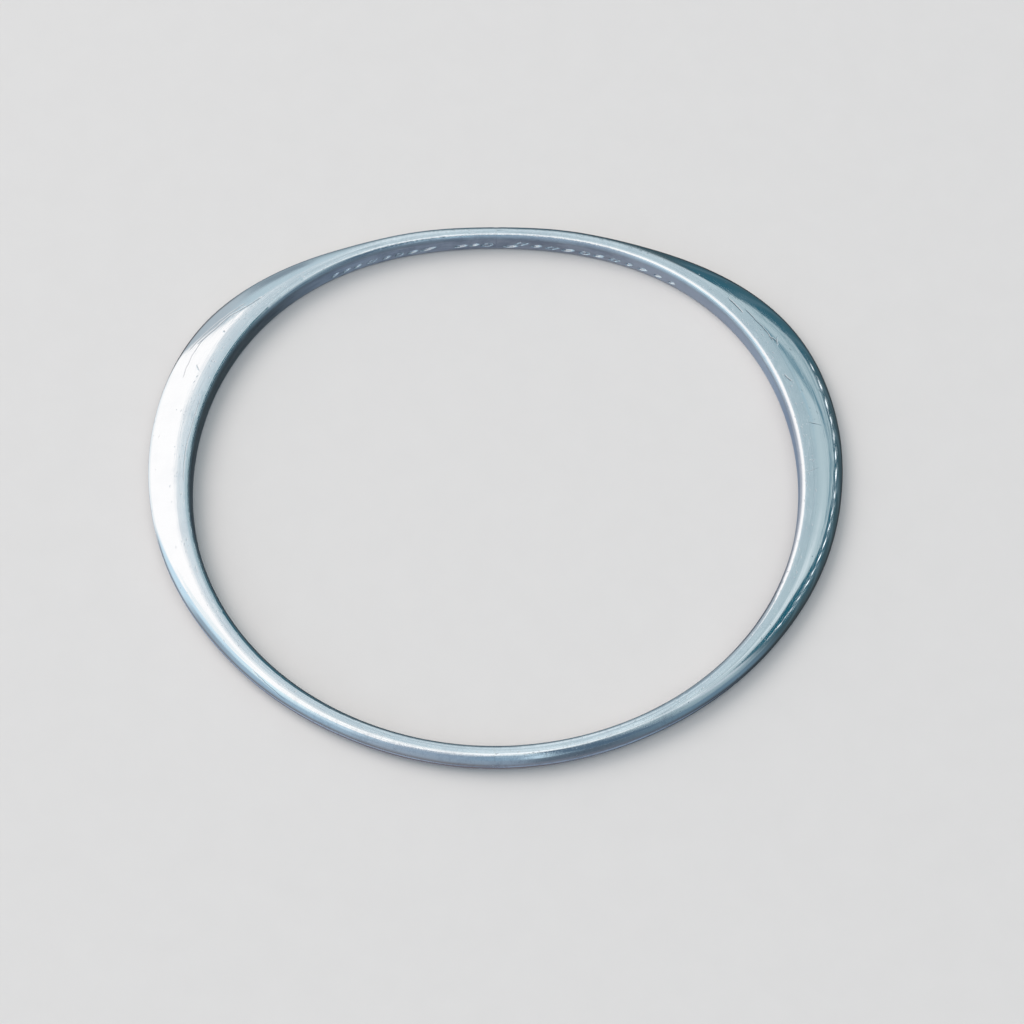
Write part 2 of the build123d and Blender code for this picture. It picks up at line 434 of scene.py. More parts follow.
class Nodes:
    def __init__(self, tree):
        self.t = tree
        tree.nodes.clear()

    def new(self, kind, **props):
        n = self.t.nodes.new(kind)
        for k, v in props.items():
            setattr(n, k, v)
        return n

    def put(self, socket, value):
        if isinstance(value, bpy.types.NodeSocket):
            self.t.links.new(value, socket)
        elif value is not None:
            socket.default_value = value

    def math(self, op, a, b=None, c=None, clamp=False):
        n = self.new("ShaderNodeMath", operation=op, use_clamp=clamp)
        for i, v in enumerate((a, b, c)):
            if v is not None:
                self.put(n.inputs[i], v)
        return n.outputs[0]

    def add(self, a, b): return self.math("ADD", a, b)
    def sub(self, a, b): return self.math("SUBTRACT", a, b)
    def mul(self, a, b): return self.math("MULTIPLY", a, b)
    def div(self, a, b): return self.math("DIVIDE", a, b)
    def max(self, a, b): return self.math("MAXIMUM", a, b)
    def min(self, a, b): return self.math("MINIMUM", a, b)
    def abs(self, a): return self.math("ABSOLUTE", a)

    def curve(self, x, points):
        """A smooth line through (x, y) points, held level past its ends."""
        xs, ys = [p[0] for p in points], [p[1] for p in points]
        x0, x1, y0, y1 = min(xs), max(xs), min(ys), max(ys)
        n = self.new("ShaderNodeFloatCurve")
        c = n.mapping.curves[0]
        norm = [((a - x0) / (x1 - x0), (b - y0) / (y1 - y0)) for a, b in points]
        while len(c.points) < len(norm):
            c.points.new(0.5, 0.5)
        for q, (a, b) in zip(c.points, norm):
            q.location = (a, b)
        n.mapping.update()
        self.put(n.inputs["Value"], self.math("MULTIPLY", self.math("SUBTRACT", x, x0), 1 / (x1 - x0), clamp=True))
        return self.add(self.mul(n.outputs[0], y1 - y0), y0)

    def ramp(self, x, a, b, lo=0.0, hi=1.0):
        """lo at x = a, hi at x = b, smooth between. a and b may be sockets."""
        n = self.new("ShaderNodeMapRange", interpolation_type="SMOOTHSTEP")
        self.put(n.inputs["Value"], x)
        self.put(n.inputs["From Min"], a)
        self.put(n.inputs["From Max"], b)
        self.put(n.inputs["To Min"], lo)
        self.put(n.inputs["To Max"], hi)
        return n.outputs["Result"]

    def between(self, x, a, b, soft_a, soft_b):
        """1 between a and b, with soft edges centred on them."""
        lo = self.ramp(x, self.sub(a, soft_a / 2) if not isinstance(a, (int, float)) else a - soft_a / 2,
                       self.add(a, soft_a / 2) if not isinstance(a, (int, float)) else a + soft_a / 2)
        hi = self.ramp(x, self.sub(b, soft_b / 2) if not isinstance(b, (int, float)) else b - soft_b / 2,
                       self.add(b, soft_b / 2) if not isinstance(b, (int, float)) else b + soft_b / 2, 1.0, 0.0)
        return self.mul(lo, hi)

    def mix(self, fac, a, b):
        n = self.new("ShaderNodeMix", data_type="RGBA", blend_type="MIX")
        n.clamp_factor = True
        self.put(n.inputs[0], fac)
        self.put(n.inputs[6], a)
        self.put(n.inputs[7], b)
        return n.outputs[2]

    def mixf(self, fac, a, b):
        n = self.new("ShaderNodeMix", data_type="FLOAT")
        self.put(n.inputs[0], fac)
        self.put(n.inputs[2], a)
        self.put(n.inputs[3], b)
        return n.outputs[0]

    def attr(self, name):
        n = self.new("ShaderNodeAttribute", attribute_type="GEOMETRY", attribute_name=name)
        return n.outputs["Fac"]

    def vec(self, x, y, z=0.0):
        n = self.new("ShaderNodeCombineXYZ")
        for i, v in enumerate((x, y, z)):
            self.put(n.inputs[i], v)
        return n.outputs[0]

    def noise(self, vector, scale, detail=2.0, rough=0.5, dims="3D", distortion=0.0):
        n = self.new("ShaderNodeTexNoise", noise_dimensions=dims)
        self.put(n.inputs["Vector"], vector)
        n.inputs["Scale"].default_value = scale
        n.inputs["Detail"].default_value = detail
        n.inputs["Roughness"].default_value = rough
        n.inputs["Distortion"].default_value = distortion
        return n.outputs["Fac"]

    def voronoi(self, vector, scale, randomness=1.0, dims="2D"):
        n = self.new("ShaderNodeTexVoronoi", voronoi_dimensions=dims, feature="F1")
        self.put(n.inputs["Vector"], vector)
        n.inputs["Scale"].default_value = scale
        n.inputs["Randomness"].default_value = randomness
        return n.outputs["Distance"], n.outputs["Color"]


# ------------------------------------------------------------------------------
# Silver
# ------------------------------------------------------------------------------
def hairlines(N, a, v, angle, length, width, fineness, seed, keep=0.5):
    """Thin scratches: contour lines of a stretched noise, broken up into lengths."""
    c, s = math.cos(angle), math.sin(angle)
    along = N.add(N.mul(a, c), N.mul(v, s))
    across = N.sub(N.mul(v, c), N.mul(a, s))
    p = N.vec(N.div(along, length), N.div(across, width), seed)
    n = N.noise(p, 1.0, detail=0.0)
    line = N.ramp(N.abs(N.sub(n, 0.5)), 0.0, fineness, 1.0, 0.0)
    q = N.vec(N.div(along, length * 0.8), N.div(across, width * 2.2), seed + 7.3)
    gate = N.ramp(N.noise(q, 1.0, detail=1.0), keep, keep + 0.10)
    return N.mul(line, gate)


def stroke(N, a, v, points, width):
    """One particular scratch: a smooth line through a few (arc, section) points,
    fading at both ends."""
    a0, a1 = min(p[0] for p in points), max(p[0] for p in points)
    rise = (points[-1][1] - points[0][1]) / (points[-1][0] - points[0][0])
    off = N.abs(N.sub(v, N.curve(a, sorted(points))))
    line = N.math("MULTIPLY_ADD", off, -math.sqrt(1 + rise * rise) ** -1 / width, 1.0, clamp=True)
    mid, half = (a0 + a1) / 2, (a1 - a0) / 2
    ends = N.math("MULTIPLY_ADD", N.abs(N.sub(a, mid)), -1 / 0.35, half / 0.35 + 0.2, clamp=True)
    return N.mul(line, ends)


# particular scratches and specks that show: points as (mm round the half from its
# front end, mm out from the wall), line width in mm, depth in mm
LEFT_LINES = [
    ([(59.22, 3.44), (61.0, 3.66), (62.68, 3.70), (64.24, 3.39)], 0.085, 0.013),
    ([(61.06, 2.71), (60.75, 2.45), (60.45, 2.10)], 0.090, 0.016),
    ([(63.12, 3.87), (65.35, 3.19), (67.18, 2.81), (68.68, 2.22), (70.78, 1.72)], 0.090, 0.013),
    ([(62.2, 4.35), (64.6, 3.78), (66.9, 3.18), (69.2, 2.52)], 0.065, 0.007),
    ([(25.88, 1.76), (23.44, 1.89), (21.5, 1.96)], 0.060, 0.010),
    ([(48.0, 0.72), (51.5, 0.80), (55.0, 0.70), (57.5, 0.76)], 0.050, 0.006),
]
LEFT_SPECKS = [(61.95, 1.38, 0.15), (62.01, 1.08, 0.12), (61.34, 1.28, 0.13), (65.46, 2.18, 0.14),
               (60.1, 0.82, 0.10), (57.9, 1.02, 0.12), (66.4, 0.70, 0.10), (21.13, 0.73, 0.14),
               (52.0, 1.10, 0.10), (40.8, 0.92, 0.09)]
RIGHT_LINES = [
    ([(70.83, 1.47), (69.6, 1.46), (68.51, 1.38)], 0.085, 0.022),
    ([(68.73, 1.88), (67.4, 1.92), (65.57, 2.04), (64.24, 2.01)], 0.075, 0.018),
    ([(64.85, 1.90), (64.4, 2.22), (63.7, 2.30)], 0.085, 0.022),
    ([(64.46, 2.67), (64.1, 2.36), (63.6, 2.12)], 0.085, 0.022),
    ([(60.5, 1.20), (59.9, 1.30), (59.3, 1.68)], 0.085, 0.020),
    ([(54.60, 1.60), (54.35, 2.30), (54.10, 2.95)], 0.070, 0.014),
    ([(48.95, 0.60), (49.22, 1.28), (49.50, 1.95)], 0.060, 0.010),
]
RIGHT_SPECKS = [(59.55, 1.43, 0.14), (62.62, 0.86, 0.13), (48.82, 0.96, 0.13), (59.2, 1.62, 0.11),
                (58.9, 1.30, 0.12), (59.9, 1.18, 0.10), (66.1, 1.20, 0.09), (38.4, 0.95, 0.08)]
WALL_SPECKS = [(64.24, 2.57, 0.13), (68.29, 1.82, 0.13), (67.68, 1.82, 0.11), (71.71, 0.81, 0.13)]


def specks(N, a, v, points):
    """Round digs at given places."""
    here = N.vec(a, v, 0.0)
    total = None
    for a0, v0, radius in points:
        n = N.new("ShaderNodeVectorMath", operation="DISTANCE")
        N.put(n.inputs[0], here)
        n.inputs[1].default_value = (a0, v0, 0.0)
        dot = N.math("MULTIPLY_ADD", n.outputs["Value"], -1.4 / radius, 1.4, clamp=True)
        total = dot if total is None else N.max(total, dot)
    return total


def silver_material(name, side):
    mat = bpy.data.materials.new(name)
    mat.use_nodes = True
    N = Nodes(mat.node_tree)
    a, v = N.attr("ring_a"), N.attr("ring_v")
    s, z = N.attr("ring_s"), N.attr("ring_z")
    wall, lapped, recess = N.attr("wall"), N.attr("lapped"), N.attr("recess")
    thin = N.attr("thin")
    back = N.ramp(N.attr("ring_deg"), 50.0, 66.0)
    upper = N.ramp(z, 1.25, 1.5)
    if side < 0:
        a_ = N.add(a, 311.0)
    else:
        a_ = a
    obj = N.new("ShaderNodeTexCoord").outputs["Object"]
    flat2 = N.vec(a_, v, 0.0)

    # a few scratches that can be told apart
    lines, depths = (LEFT_LINES, LEFT_SPECKS) if side < 0 else (RIGHT_LINES, RIGHT_SPECKS)
    wob = N.mul(N.sub(N.noise(N.vec(a_, s, 6.0), 1.3, detail=1.0), 0.5), 0.16)
    s_w = N.add(s, wob)
    hero, hero_h = None, None
    for points, width, deep in lines:
        g = stroke(N, a, s_w, points, width)
        h = N.mul(g, -deep)
        hero = g if hero is None else N.max(hero, g)
        hero_h = h if hero_h is None else N.min(hero_h, h)
    hero, hero_h = N.mul(hero, upper), N.mul(hero_h, upper)
    dots = N.mul(specks(N, a, s_w, depths), upper)
    if side < 0:
        dots = N.max(dots, N.mul(specks(N, a, z, WALL_SPECKS), wall))

    # fine scratches, as the wheel, the lap and years of wear leave them
    h1 = hairlines(N, a_, v, 0.10, 7.0, 0.30, 0.035, 1.7, 0.52)
    h2 = hairlines(N, a_, v, -0.42, 3.4, 0.26, 0.026, 9.1, 0.60)
    h3 = hairlines(N, a_, v, 0.85, 2.6, 0.28, 0.022, 15.4, 0.66)
    fine = N.max(N.mul(h1, 0.8), N.max(N.mul(h2, 0.7), N.mul(h3, 0.45)))
    # long lines of the polishing direction, round the ring
    h4 = hairlines(N, a_, v, 0.0, 16.0, 0.13, 0.060, 22.9, 0.44)
    h5 = hairlines(N, a_, v, 0.012, 24.0, 0.22, 0.045, 31.4, 0.42)
    drawn = N.max(h4, h5)

    # pits and small digs, most of them on the lapped rims
    d1, c1 = N.voronoi(flat2, 1 / 0.40)
    pick1 = N.new("ShaderNodeSeparateColor")
    N.put(pick1.inputs[0], c1)
    pit1 = N.mul(N.ramp(d1, 0.04, 0.19, 1.0, 0.0),
                 N.ramp(pick1.outputs[0], N.mixf(lapped, 0.975, 0.80), N.mixf(lapped, 0.990, 0.92)))
    stretched = N.vec(N.div(N.add(a_, N.mul(v, 1.7)), 1.7), N.add(v, N.mul(a_, 0.06)), 4.0)
    d2, c2 = N.voronoi(stretched, 1 / 0.31)
    pick2 = N.new("ShaderNodeSeparateColor")
    N.put(pick2.inputs[0], c2)
    pit2 = N.mul(N.ramp(d2, 0.05, 0.26, 1.0, 0.0),
                 N.ramp(pick2.outputs[1], N.mixf(lapped, 0.985, 0.84), N.mixf(lapped, 0.995, 0.95)))
    pits = N.max(N.max(pit1, pit2), dots)

    grain = N.noise(obj, 5200.0, detail=3.0, rough=0.6)
    mottle = N.noise(obj, 420.0, detail=3.0, rough=0.55)
    dapple = N.sub(N.noise(obj, 2600.0, detail=2.0, rough=0.6), 0.5)
    cloud = N.noise(obj, 120.0, detail=2.0, rough=0.5)
    patch = N.noise(N.vec(N.div(a_, 4.5), N.mul(z, 1.1), 12.0), 1.0, detail=3.0, rough=0.6)

    # brushed inside wall: short strokes running round the ring
    bp = N.vec(N.div(a_, 1.6), N.div(v, 0.045), 3.0)
    brushed = N.noise(bp, 1.0, detail=2.0, rough=0.6)

    # colour: cool silver, a little duller where polish has not reached
    bright = lin(243, 245, 246)
    dull = lin(205, 212, 220)
    slate = lin(142, 150, 166)
    dark = lin(112, 118, 128)
    tarnish = N.ramp(mottle, 0.42, 0.75, 0.0, N.mixf(N.max(wall, lapped), 0.08, 0.26))
    worn = 1.0
    if side > 0:
        # painted light: the inside wall of the right shoulder, about 31 to 59 degrees round, is kept free of the dull
        # tone and the patches so it shows lighter; further round it is dull
        worn = N.ramp(N.abs(N.sub(N.attr("ring_deg"), 45.0)), 14.0, 26.0)
    # the inside wall is duller, except inside the punch marks and in the painted light band on the right shoulder
    tarnish = N.add(tarnish, N.mul(N.mul(N.mul(wall, worn), N.sub(1.0, recess)), 0.25))
    tarnish = N.add(tarnish, N.mul(lapped, 0.10))
    col = N.mix(N.math("MINIMUM", tarnish, 1.0), bright, dull)
    # tarnish patches on the inside wall; painted shade on the right side joins the same mask below
    stain_and_painted_shade = N.mul(N.mul(N.mul(wall, worn), N.sub(1.0, recess)), N.ramp(patch, 0.40, 0.72, 0.0, 0.42))
    # painted shade: on the right half the inside wall from about -45 to 27 degrees round is darkened towards slate
    if side > 0:
        stain_and_painted_shade = N.max(stain_and_painted_shade, N.mul(wall, N.ramp(N.abs(N.add(N.attr("ring_deg"), 9.0)), 21.0, 36.0, 0.72, 0.0)))
    col = N.mix(stain_and_painted_shade, col, slate)
    # painted glint: inside the punch marks the colour is lifted to near white so the marks show as bright glints
    col = N.mix(N.mul(recess, 0.9), col, lin(250, 251, 252))
    grime = N.math("MINIMUM", N.add(N.mul(pits, 0.30), N.mul(hero, 0.45 if side < 0 else 0.60)), 1.0)
    col = N.mix(grime, col, dark)
    # the thin stretches are rubbed hazy on their outer flank
    haze = N.mul(N.mul(thin, N.sub(1.0, lapped)), N.ramp(N.add(mottle, dapple), 0.36, 0.86))
    col = N.mix(N.mul(haze, 0.20), col, slate)
    rub = N.mul(N.mul(drawn, lapped), N.mixf(thin, 0.20, 0.40))
    col = N.mix(rub, col, lin(150, 164, 176))

    # roughness
    r_dome = N.add(N.mixf(thin, 0.055, 0.085), N.mul(N.sub(cloud, 0.5), 0.04))
    r = N.mixf(lapped, r_dome, N.add(0.150, N.mul(N.sub(mottle, 0.5), 0.12)))
    r = N.mixf(wall, r, N.add(0.34, N.mul(N.sub(brushed, 0.5), 0.26)))
    r = N.add(r, N.mul(fine, 0.14))
    r = N.add(r, N.mul(drawn, 0.05))
    r = N.add(r, N.mul(haze, 0.12))
    r = N.add(r, N.mul(pits, 0.16))
    r = N.add(r, N.mul(hero, 0.10))
    r = N.mixf(recess, r, 0.22)
    r = N.math("MINIMUM", N.math("MAXIMUM", r, 0.05), 0.7)

    # height, mm
    height = N.mul(fine, -0.0018)
    height = N.add(height, N.mul(drawn, N.mixf(thin, -0.0010, -0.0020)))
    height = N.add(height, N.mul(pits, -0.009))
    height = N.add(height, hero_h)
    height = N.add(height, N.mul(N.sub(grain, 0.5), N.mixf(N.max(lapped, thin), 0.0003, 0.0018)))
    height = N.add(height, N.mul(N.mul(dapple, thin), N.mixf(back, 0.0035, 0.0170)))
    height = N.add(height, N.mul(N.mul(N.sub(brushed, 0.5), wall), 0.0035))

    bump = N.new("ShaderNodeBump")
    bump.inputs["Strength"].default_value = 1.0
    bump.inputs["Distance"].default_value = MM
    N.put(bump.inputs["Height"], height)

    bsdf = N.new("ShaderNodeBsdfPrincipled")
    bsdf.inputs["Metallic"].default_value = 1.0
    bsdf.inputs["IOR"].default_value = 1.45
    N.put(bsdf.inputs["Base Color"], col)
    N.put(bsdf.inputs["Roughness"], r)
    N.put(bsdf.inputs["Normal"], bump.outputs[0])
    out = N.new("ShaderNodeOutputMaterial")
    N.put(out.inputs["Surface"], bsdf.outputs[0])
    return mat


def solder_material():
    mat = bpy.data.materials.new("hard_solder")
    mat.use_nodes = True
    N = Nodes(mat.node_tree)
    wall, lapped = N.attr("wall"), N.attr("lapped")
    obj = N.new("ShaderNodeTexCoord").outputs["Object"]
    mottle = N.noise(obj, 3800.0, detail=3.0, rough=0.6)
    grain = N.noise(obj, 5200.0, detail=3.0, rough=0.6)
    d, c = N.voronoi(obj, 6200.0, dims="3D")
    pick = N.new("ShaderNodeSeparateColor")
    N.put(pick.inputs[0], c)
    hole = N.mul(N.ramp(d, 0.1, 0.36, 1.0, 0.0), N.ramp(pick.outputs[0], 0.90, 0.95))
    col = N.mix(N.ramp(mottle, 0.35, 0.7), lin(241, 242, 241), lin(226, 229, 231))
    col = N.mix(N.mul(wall, 0.55), col, lin(186, 192, 204))
    col = N.mix(N.mul(hole, 0.5), col, lin(112, 116, 122))
    r = N.add(N.mixf(lapped, 0.11, 0.17), N.mul(N.sub(mottle, 0.5), 0.06))
    r = N.mixf(wall, r, 0.36)
    r = N.add(r, N.mul(hole, 0.14))
    height = N.add(N.mul(hole, -0.008), N.mul(N.sub(grain, 0.5), N.mixf(lapped, 0.0003, 0.0015)))
    bump = N.new("ShaderNodeBump")
    bump.inputs["Strength"].default_value = 1.0
    bump.inputs["Distance"].default_value = MM
    N.put(bump.inputs["Height"], height)
    bsdf = N.new("ShaderNodeBsdfPrincipled")
    bsdf.inputs["Metallic"].default_value = 1.0
    N.put(bsdf.inputs["Base Color"], col)
    N.put(bsdf.inputs["Roughness"], r)
    N.put(bsdf.inputs["Normal"], bump.outputs[0])
    out = N.new("ShaderNodeOutputMaterial")
    N.put(out.inputs["Surface"], bsdf.outputs[0])
    return mat


# ------------------------------------------------------------------------------
# Floor, studio light, camera
# ------------------------------------------------------------------------------
def build_floor():
    size = 1.6
    me = bpy.data.meshes.new("studio_floor")
    z = -0.00001
    me.from_pydata([(-size, -size, z), (size, -size, z), (size, size, z), (-size, size, z)], [], [(0, 1, 2, 3)])
    ob = bpy.data.objects.new("studio_floor", me)
    bpy.context.collection.objects.link(ob)
    mat = bpy.data.materials.new("pale_floor")
    mat.use_nodes = True
    N = Nodes(mat.node_tree)
    obj = N.new("ShaderNodeTexCoord").outputs["Object"]
    n = N.noise(obj, 260.0, detail=4.0, rough=0.6)
    col = N.mix(n, lin(217, 211, 208), lin(221, 215, 212))
    bsdf = N.new("ShaderNodeBsdfPrincipled")
    bsdf.inputs["Roughness"].default_value = 0.85
    bsdf.inputs["Specular IOR Level"].default_value = 0.15
    N.put(bsdf.inputs["Base Color"], col)
    # far from the bangle the floor runs into the plain backdrop
    away = N.new("ShaderNodeVectorMath", operation="LENGTH")
    N.put(away.inputs[0], obj)
    glow = N.new("ShaderNodeEmission")
    glow.inputs["Color"].default_value = lin(214, 216, 217)
    both = N.new("ShaderNodeMixShader")
    N.put(both.inputs[0], N.ramp(away.outputs["Value"], 0.35, 1.30))
    N.put(both.inputs[1], bsdf.outputs[0])
    N.put(both.inputs[2], glow.outputs[0])
    out = N.new("ShaderNodeOutputMaterial")
    N.put(out.inputs["Surface"], both.outputs[0])
    me.materials.append(mat)
    ob.visible_glossy = False
    return ob


def build_world():
    """A soft studio: a large bright window-like panel on the left, a pale ceiling,
    a pale panel at the back, and dark cards on the right and behind the camera."""
    w = bpy.data.worlds.new("studio")
    bpy.context.scene.world = w
    w.use_nodes = True
    N = Nodes(w.node_tree)
    sep = N.new("ShaderNodeSeparateXYZ")
    N.put(sep.inputs[0], N.new("ShaderNodeTexCoord").outputs["Generated"])
    x, y, z = sep.outputs
    z = N.math("MINIMUM", N.math("MAXIMUM", z, -0.99999), 0.99999)
    el = N.mul(N.math("ARCSINE", z), 180 / math.pi)
    az = N.mul(N.math("ARCTAN2", x, y), 180 / math.pi)      # 0 back, +90 right
    aaz = N.abs(az)

    # below the horizon: slate, warmer at the front left, dark on the right
    low = N.mix(N.ramp(az, -40.0, 20.0), lin(118, 118, 124), lin(54, 60, 66))
    low = N.mix(N.ramp(az, 108.0, 176.0), low, lin(120, 127, 140))
    low = N.mix(N.ramp(az, -176.0, -180.0, 0.0, 1.0), low, lin(120, 127, 140))
    # right under it, what the wall inside the back and the right side shows
    nadir = N.mix(N.ramp(az, -40.0, 10.0), lin(166, 188, 214), lin(62, 68, 76))
    nadir = N.mix(N.ramp(az, 96.0, 140.0), nadir, lin(136, 156, 180))
    nadir = N.mix(N.ramp(az, -150.0, -176.0), nadir, lin(118, 134, 156))
    low = N.mix(N.ramp(el, -46, -58), low, nadir)
    foot = N.max(N.mul(N.ramp(az, -40, -70), N.ramp(el, -58, -66)), N.mul(N.ramp(el, -62, -69), N.ramp(az, 120, 150)))
    low = N.mix(foot, low, lin(112, 104, 108))

    # round the horizon
    mid = N.mix(N.ramp(az, -96.0, -104.0), lin(206, 231, 246), lin(150, 170, 186))
    mid = N.mix(N.ramp(az, -108.0, -122.0), mid, lin(158, 184, 204))
    mid = N.mix(N.ramp(az, -138.0, -156.0), mid, lin(152, 166, 182))
    mid = N.mix(N.ramp(az, -156.0, -176.0), mid, lin(138, 155, 172))
    mid = N.mix(N.ramp(az, -60.0, 0.0), mid, lin(66, 86, 94))
    mid = N.mix(N.ramp(az, 104.0, 122.0), mid, lin(104, 130, 148))
    mid = N.mix(N.ramp(az, 136.0, 156.0), mid, lin(88, 102, 116))
    mid = N.mix(N.ramp(az, 168.0, 177.0), mid, lin(136, 154, 172))
    col = N.mix(N.ramp(el, -44, -4), low, mid)
    # higher up: pale blue on the left, the dark shape of the person behind the camera
    sky = N.mix(N.ramp(az, -108.0, -118.0), lin(206, 232, 247), lin(220, 243, 252))
    sky = N.mix(N.ramp(az, -126.0, -140.0), sky, lin(196, 219, 234))
    sky = N.mix(N.ramp(az, -141.0, -156.0), sky, lin(146, 164, 183))
    sky = N.mix(N.between(az, 0, 141, 4, 14), sky, lin(150, 172, 182))
    sky = N.mix(N.between(az, 137, 166, 12, 10), sky, lin(84, 106, 126))
    sky = N.mix(N.ramp(az, 169.0, 177.0), sky, lin(128, 154, 175))
    sky = N.mix(N.ramp(az, -168.0, -178.0), sky, lin(128, 154, 175))
    col = N.mix(N.mul(N.ramp(el, 12, 30), N.max(N.ramp(az, -84, -92), N.ramp(az, 104, 118))), col, sky)

    # right: a dark card, teal where it meets the ceiling
    card = N.between(az, 16, 106, 4, 10)
    teal_zone = N.max(N.mul(N.ramp(az, 52, 40), N.ramp(el, -25, 15)), N.ramp(el, 10, 36))
    card_col = N.mix(N.mul(teal_zone, 0.9), N.mix(N.ramp(el, -30, 10), lin(58, 66, 70), lin(64, 84, 92)),
                     N.mix(N.ramp(el, 14, 40), lin(60, 98, 112), lin(50, 100, 118)))
    fold = N.math("SINE", N.add(N.mul(az, 0.62), N.mul(el, 0.16)))
    card_col = N.mix(N.mul(N.ramp(fold, 0.1, 1.0), N.ramp(el, -30, 10, 0.0, 0.40)), card_col, lin(100, 126, 138))
    col = N.mix(N.mul(card, N.ramp(el, -80, -35, 0.6, 1.0)), col, card_col)
    # narrow pale strip beside it
    side = N.mul(N.between(az, 106, 122, 8, 12), N.ramp(el, 34, 52))
    col = N.mix(side, col, lin(196, 210, 219))

    # back: a soft pale panel, grey towards the window
    edge_b = N.curve(el, [(-60, -1), (-38, 3), (-15, 7), (0, 9.5), (15, 11.5), (32, 13), (50, 15.5)])
    strip = N.mul(N.ramp(az, -15, -8, 0.0, 1.0), N.ramp(N.sub(az, edge_b), -3.0, 2.5, 1.0, 0.0))
    strip_col = N.mix(N.ramp(el, -12, 38), lin(76, 98, 110), lin(208, 224, 232))
    strip_col = N.mix(N.mul(N.ramp(az, -1, -7), N.ramp(el, -60, 10, 0.0, 0.95)), strip_col, N.mix(N.ramp(el, -24, 26), lin(118, 142, 154), lin(232, 244, 250)))
    grey_col = N.mix(N.ramp(el, -42, 36), lin(112, 126, 136), lin(186, 206, 216))
    grey_col = N.mix(N.mul(N.between(az, -26, -17, 5, 3), N.between(el, -6, 30, 16, 14)), grey_col, lin(134, 150, 162))
    grey_col = N.mix(N.mul(N.ramp(az, -22, -30), N.ramp(el, -34, 0)), grey_col, lin(178, 190, 199))
    grey_col = N.mix(N.mul(N.ramp(az, -22, -30), N.ramp(el, 4, -30)), grey_col, lin(88, 86, 88))
    grey = N.between(az, -62, -8.5, 10, 9)
    col = N.mix(N.mul(grey, N.ramp(el, -58, -46)), col, grey_col)
    col = N.mix(N.mul(strip, N.ramp(el, -62, -52)), col, strip_col)

    # pale ceiling on the right, above the card, with folds of shade across it
    edge = N.curve(az, [(12, 49), (18, 46.5), (25, 41), (32, 36), (40, 32), (46, 33.5), (52, 35.5),
                        (60, 39), (66, 43), (72, 46), (76, 57), (98, 59), (112, 47)])
    above = N.ramp(N.sub(el, edge), -0.9, 1.1)
    pale = N.mix(N.ramp(el, 34, 56), lin(170, 190, 198), lin(184, 204, 211))
    wisp_c = N.curve(az, [(14, 57), (20, 54.5), (26, 52.5), (33, 50), (40, 47), (51, 45.5), (60, 48.5), (68, 55)])
    wisp = N.mul(N.ramp(N.abs(N.sub(el, wisp_c)), 0.8, 2.8, 1.0, 0.0), N.between(az, 19, 64, 8, 8))
    pale = N.mix(N.mul(wisp, 0.95), pale, lin(98, 136, 152))
    wisp2_c = N.curve(az, [(20, 47.5), (30, 42.5), (40, 38.5), (50, 40.5), (60, 44.5), (70, 50)])
    wisp2 = N.mul(N.ramp(N.abs(N.sub(el, wisp2_c)), 0.2, 2.2, 1.0, 0.0), N.between(az, 24, 66, 6, 6))
    pale = N.mix(N.mul(wisp2, 0.75), pale, lin(112, 146, 158))
    blue = N.mul(N.between(az, 18, 31, 3, 5), N.between(el, 57, 62.5, 2, 2))
    pale = N.mix(N.mul(blue, 0.9), pale, lin(128, 172, 194))
    col = N.mix(N.mul(above, N.between(az, 14.5, 106, 3, 8)), col, pale)
    blob = N.mul(N.between(az, 73, 101, 4, 5), N.between(el, 44, 60, 3, 3))
    col = N.mix(N.mul(blob, 0.95), col, lin(34, 94, 112))

    # a row of short slits of light through the card
    row = N.add(25.5, N.mul(N.sub(az, 47.0), 0.32))
    comb = N.math("SINE", N.add(N.mul(az, 1.75), N.mul(el, 0.30)))
    slit = N.mul(N.ramp(comb, -0.1, 0.5), N.ramp(N.abs(N.sub(el, row)), 1.6, 3.4, 1.0, 0.0))
    col = N.mix(N.mul(slit, N.between(az, 43, 101, 6, 6)), col, lin(240, 247, 250, 1.7))
    row2 = N.add(18.0, N.mul(N.sub(az, 50.0), 0.30))
    slit2 = N.mul(N.ramp(comb, 0.2, 0.8), N.ramp(N.abs(N.sub(el, row2)), 0.8, 2.4, 1.0, 0.0))
    col = N.mix(N.mul(N.mul(slit2, N.between(az, 50, 96, 6, 6)), 0.6), col, lin(170, 196, 206))

    # ceiling all round; it starts higher behind the camera
    ce = N.curve(az, [(-180, 67), (-172, 69), (-165, 70), (-157, 65), (-150, 58), (-143, 51), (-130, 46.5), (-100, 56), (-60, 63), (-30, 62),
                      (-10, 58), (20, 58), (60, 58), (80, 61), (98, 63.5), (112, 66), (122, 74), (135, 79),
                      (150, 80), (160, 78), (168, 72), (174, 67), (180, 67)])
    ceil_col = N.mix(N.ramp(az, -34, -22), lin(243, 248, 250), lin(206, 222, 231))
    ceil_col = N.mix(N.ramp(az, -86, -104), ceil_col, lin(254, 255, 255, 1.10))
    ceil_col = N.mix(N.ramp(az, -160, -180), ceil_col, lin(240, 244, 247))
    ceil_col = N.mix(N.ramp(az, -13.5, -9.5), ceil_col, lin(172, 192, 201))
    ceil_col = N.mix(N.ramp(az, -6, -2), ceil_col, lin(190, 210, 220))
    ceil_col = N.mix(N.ramp(az, 4, 8), ceil_col, lin(180, 198, 206))
    ceil_col = N.mix(N.ramp(az, 8, 13), ceil_col, lin(166, 188, 196))
    ceil_col = N.mix(N.ramp(az, 17, 24), ceil_col, lin(176, 197, 205))
    ceil_col = N.mix(N.ramp(az, 40, 56), ceil_col, lin(212, 226, 232))
    ceil_col = N.mix(N.ramp(az, 72, 84), ceil_col, lin(184, 202, 210))
    ceil_col = N.mix(N.ramp(az, 96, 104), ceil_col, lin(228, 239, 243))
    col = N.mix(N.ramp(N.sub(el, ce), -2.5, 2.5), col, ceil_col)
